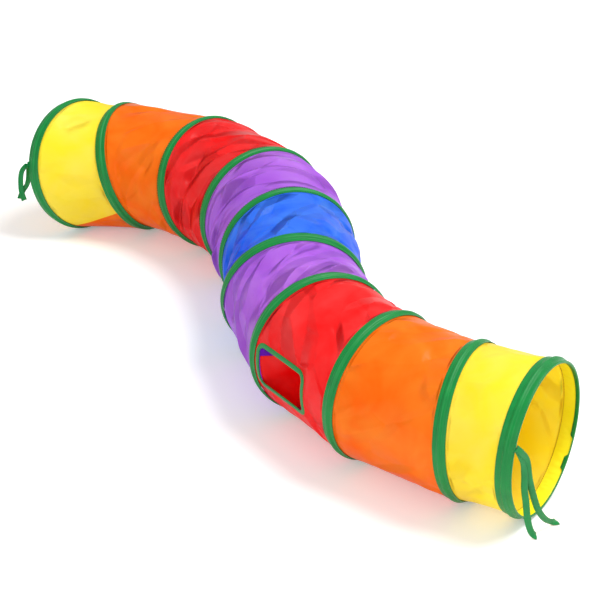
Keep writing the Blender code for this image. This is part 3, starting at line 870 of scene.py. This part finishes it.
# The window's tape: the same green tape as on the seams, folded round the cut edge of the cloth
# and sewn through, 8 mm wide on each side of the wall.
# Half of its section: reach from the opening, and height off the wall
WINDOW_TAPE_PROFILE = (
    (WINDOW_TAPE_WIDTH, 0.00012),
    (0.0074, 0.00102),
    (0.0060, 0.00102),
    (0.0032, 0.00120),
    (0.0012, 0.00120),
    (0.0003, 0.00072),
    (0.0, 0.0),
)
# It is laid on the wall from this far outside
WINDOW_TAPE_ABOVE = 0.05


def window_outline():
    """Points round the clear window at even steps, each with its way out, and the girth."""
    outline = []
    girth = 2 * (WINDOW_WIDTH + WINDOW_HEIGHT) - 8 * WINDOW_CORNER + 2 * pi * WINDOW_CORNER
    across, up = WINDOW_WIDTH / 2 - WINDOW_CORNER, WINDOW_HEIGHT / 2 - WINDOW_CORNER
    corners = []
    for quarter, (x, y) in enumerate(((1, 1), (-1, 1), (-1, -1), (1, -1))):
        corners.append((Vector((x * across, y * up)), quarter * pi / 2))
    arc = pi / 2 * WINDOW_CORNER
    for k in range(WINDOW_STEPS):
        walked = girth * k / WINDOW_STEPS
        for quarter, (centre, start) in enumerate(corners):
            if walked <= arc:
                turn = start + walked / WINDOW_CORNER
                way = Vector((cos(turn), sin(turn)))
                outline.append((centre + way * WINDOW_CORNER, way))
                break
            walked -= arc
            after = corners[(quarter + 1) % 4][0]
            side = (after - centre).length
            if walked <= side:
                way = Vector((cos(start + pi / 2), sin(start + pi / 2)))
                outline.append((centre.lerp(after, walked / side) + way * WINDOW_CORNER, way))
                break
            walked -= side
    return outline, girth


def add_window_tape(wall):
    """A closed ring of the tape's section, spun and then laid round the window on the wall."""
    outline, girth = window_outline()
    inside = [(reach, -height) for reach, height in WINDOW_TAPE_PROFILE[-2::-1]]
    section = [*WINDOW_TAPE_PROFILE, *inside]
    bm = wound_sheet(len(section), WINDOW_STEPS, closed=True)
    lay_weave(bm, girth / (2 * pi), [reach for reach, _ in section])
    for v in bm.verts:
        station = round(atan2(v.co.y, v.co.x) / (2 * pi) * WINDOW_STEPS) % WINDOW_STEPS
        spot, way = outline[station]
        reach, height = section[round(v.co.z)]
        flat = spot + way * reach
        above = window @ Vector((flat.x, flat.y, WINDOW_TAPE_ABOVE))
        inwards = -window.col[2].xyz
        met, normal, _, _ = wall.ray_cast(above, inwards)
        v.co = met + (normal if normal.dot(inwards) < 0 else -normal) * height
    bmesh.ops.recalc_face_normals(bm, faces=bm.faces)
    tape = finished("window_tape", bm, binding_finish)
    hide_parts("window_binding")
    blend_across(tape)


add_window_tape(walls[WINDOW_PANEL])

# Curtain: a piece of the same red taffeta inside the window, sewn to the wall along the window's
# far edge. It stands half open, so that the inside looks red with purple in one corner.
CURTAIN_WIDTH = 0.085
CURTAIN_TOP = 0.014
CURTAIN_DROP = 0.112
CURTAIN_OPEN = 57.0
CURTAIN_SEAM = 0.0590
CURTAIN_FOLD = 0.0035
# Its ripples: how far each turns across the curtain and down it, in radians, and its share
CURTAIN_RIPPLES = ((9.0, 1.7, 1.0), (17.0, -3.0, 0.5))
CURTAIN_CLEARANCE = 0.003
bm = bmesh.new()
bmesh.ops.create_grid(bm, x_segments=48, y_segments=60, size=1.0)
weave = bm.loops.layers.uv.new("weave")
for face in bm.faces:
    for loop in face.loops:
        loop[weave].uv = (loop.vert.co.x * CURTAIN_WIDTH / 2, loop.vert.co.y * CURTAIN_DROP / 2)
opened = Vector((cos(radians(CURTAIN_OPEN)), 0.0, -sin(radians(CURTAIN_OPEN))))
for v in bm.verts:
    reach, down = (v.co.x + 1) / 2, (1 - v.co.y) / 2
    y = CURTAIN_TOP - CURTAIN_DROP * down
    inside = CLOTH_RADIUS - CURTAIN_CLEARANCE
    wall_depth = WINDOW_SIDE_RADIUS - sqrt(inside**2 - (y - WINDOW_DROP) ** 2)
    ripple = sum(size * sin(reach * over + down * fall) for over, fall, size in CURTAIN_RIPPLES)
    spot = Vector((-CURTAIN_SEAM, y, -wall_depth)) + opened * CURTAIN_WIDTH * reach
    v.co = window @ (spot + Vector((opened.z, 0.0, -opened.x)) * ripple * CURTAIN_FOLD * reach)
curtain = finished("window_curtain", bm, cloths[WINDOW_PANEL], CLOTH_THICKNESS)
blend_across(curtain)

# The hoops: rings of drawn spring-steel wire in the channels of the tapes. A zinc ferrule, crimped
# over both ends of the wire at the bottom, closes each one. Both metals are grey with a fine grain,
# and the ferrule is the duller one.
WIRE_RADIUS = 0.12099
WIRE_DIAMETER = 0.0018
WIRE_END_GAP = 0.001
WIRE_STEPS = 120
GRAIN_DEPTH = 0.0002
metal = {}
for name, colour, roughness in (
    ("drawn spring steel wire", "8E9296", 0.35),
    ("zinc ferrule", "A9ACAE", 0.45),
):
    metal[name], tree = bare_finish(name)
    # The real grain is too fine to show, and is drawn 1.1 mm apart
    place = add_node(tree, "ShaderNodeTexCoord").outputs["Object"]
    drawn = add_node(tree, "ShaderNodeTexNoise", {"Vector": place, "Scale": 900.0})
    bump = add_node(
        tree,
        "ShaderNodeBump",
        {"Height": drawn.outputs["Fac"], "Strength": 0.2, "Distance": GRAIN_DEPTH},
    )
    surface = {
        "Base Color": linear(colour),
        "Roughness": roughness,
        "Metallic": 1.0,
        "Normal": bump.outputs["Normal"],
    }
    shader = add_node(tree, "ShaderNodeBsdfPrincipled", surface)
    add_node(tree, "ShaderNodeOutputMaterial", {"Surface": shader.outputs["BSDF"]})
gap = WIRE_END_GAP / WIRE_RADIUS
start = Matrix.Rotation(-pi / 2 + gap / 2, 4, "Z") @ Matrix.Translation((WIRE_RADIUS, 0.0, 0.0))
upright = start @ Matrix.Rotation(pi / 2, 4, "X")
for number, place in hoops.items():
    bm = bmesh.new()
    bmesh.ops.create_circle(
        bm, cap_ends=True, segments=10, radius=WIRE_DIAMETER / 2, matrix=upright
    )
    bmesh.ops.spin(
        bm,
        geom=bm.faces[:],
        cent=(0, 0, 0),
        axis=(0, 0, 1),
        angle=2 * pi - gap,
        steps=WIRE_STEPS,
        use_merge=False,
    )
    bmesh.ops.transform(bm, matrix=place, verts=bm.verts)
    bmesh.ops.recalc_face_normals(bm, faces=bm.faces)
    wire = finished(f"wire_{number}", bm, metal["drawn spring steel wire"])
    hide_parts(f"hoop_{number}")
    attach(wire, f"section_{number}")
    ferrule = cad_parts[f"ferrule_{number}"]
    ferrule.data.materials.clear()
    ferrule.data.materials.append(metal["zinc ferrule"])

# Studio: a matt white floor and a plain white surround, a large soft lamp above and behind the
# tunnel, and a weaker one in front of it. The floor glows a little to the camera, and more far
# away, so that it reads as white paper and still takes the tunnel's shadow.
FLOOR_SIZE = 12.0
FLOOR_DROP = 0.0002
LAMP_AIM = Vector((0.0, 0.0, 0.1))
floor_finish, tree = bare_finish("white studio floor")
path = add_node(tree, "ShaderNodeLightPath")
seen = add_node(
    tree,
    "ShaderNodeMath",
    {0: path.outputs["Is Camera Ray"], 1: path.outputs["Is Glossy Ray"]},
    operation="MAXIMUM",
)
seen = add_node(
    tree,
    "ShaderNodeMath",
    {0: seen.outputs["Value"], 1: path.outputs["Is Transmission Ray"]},
    operation="MAXIMUM",
)
place = add_node(tree, "ShaderNodeTexCoord").outputs["Object"]
reach = add_node(tree, "ShaderNodeVectorMath", {0: place}, operation="LENGTH")
fading = add_node(
    tree,
    "ShaderNodeMapRange",
    {
        "Value": reach.outputs["Value"],
        "From Min": 1.5,
        "From Max": 5.0,
        "To Min": 0.24,
        "To Max": 0.5,
    },
)
glow = add_node(
    tree,
    "ShaderNodeMath",
    {0: seen.outputs["Value"], 1: fading.outputs["Result"]},
    operation="MULTIPLY",
)
shader = add_node(
    tree,
    "ShaderNodeBsdfPrincipled",
    {
        "Base Color": linear("F4F4F4"),
        "Roughness": 0.9,
        "Specular IOR Level": 0.0,
        "Emission Color": (1.0, 1.0, 1.0, 1.0),
        "Emission Strength": glow.outputs["Value"],
    },
)
add_node(tree, "ShaderNodeOutputMaterial", {"Surface": shader.outputs["BSDF"]})
bm = bmesh.new()
bmesh.ops.create_grid(bm, x_segments=4, y_segments=4, size=FLOOR_SIZE)
bmesh.ops.translate(bm, verts=bm.verts, vec=(0.0, 0.0, -FLOOR_DROP))
finished("floor", bm, floor_finish)

world = bpy.data.worlds.new("white surround")
bpy.context.scene.world = world
world.use_nodes = True
tree = world.node_tree
tree.nodes.clear()
path = add_node(tree, "ShaderNodeLightPath")
dim, white = (
    add_node(tree, "ShaderNodeBackground", {"Color": (1.0, 1.0, 1.0, 1.0), "Strength": strength})
    for strength in (0.6, 1.0)
)
mixed = add_node(
    tree,
    "ShaderNodeMixShader",
    {
        "Fac": path.outputs["Is Camera Ray"],
        1: dim.outputs["Background"],
        2: white.outputs["Background"],
    },
)
add_node(tree, "ShaderNodeOutputWorld", {"Surface": mixed.outputs["Shader"]})

for name, place, size, power in (
    ("top lamp", (1.4, 1.6, 4.4), 2.6, 198.0),
    ("front lamp", (2.0, -2.8, 1.7), 2.4, 43.0),
):
    lamp = bpy.data.objects.new(name, bpy.data.lights.new(name, "AREA"))
    bpy.context.scene.collection.objects.link(lamp)
    lamp.data.shape = "DISK"
    lamp.data.size = size
    lamp.data.energy = power
    lamp.location = place
    lamp.rotation_euler = (LAMP_AIM - lamp.location).to_track_quat("-Z", "Y").to_euler()

bpy.context.scene.view_settings.view_transform = "Standard"
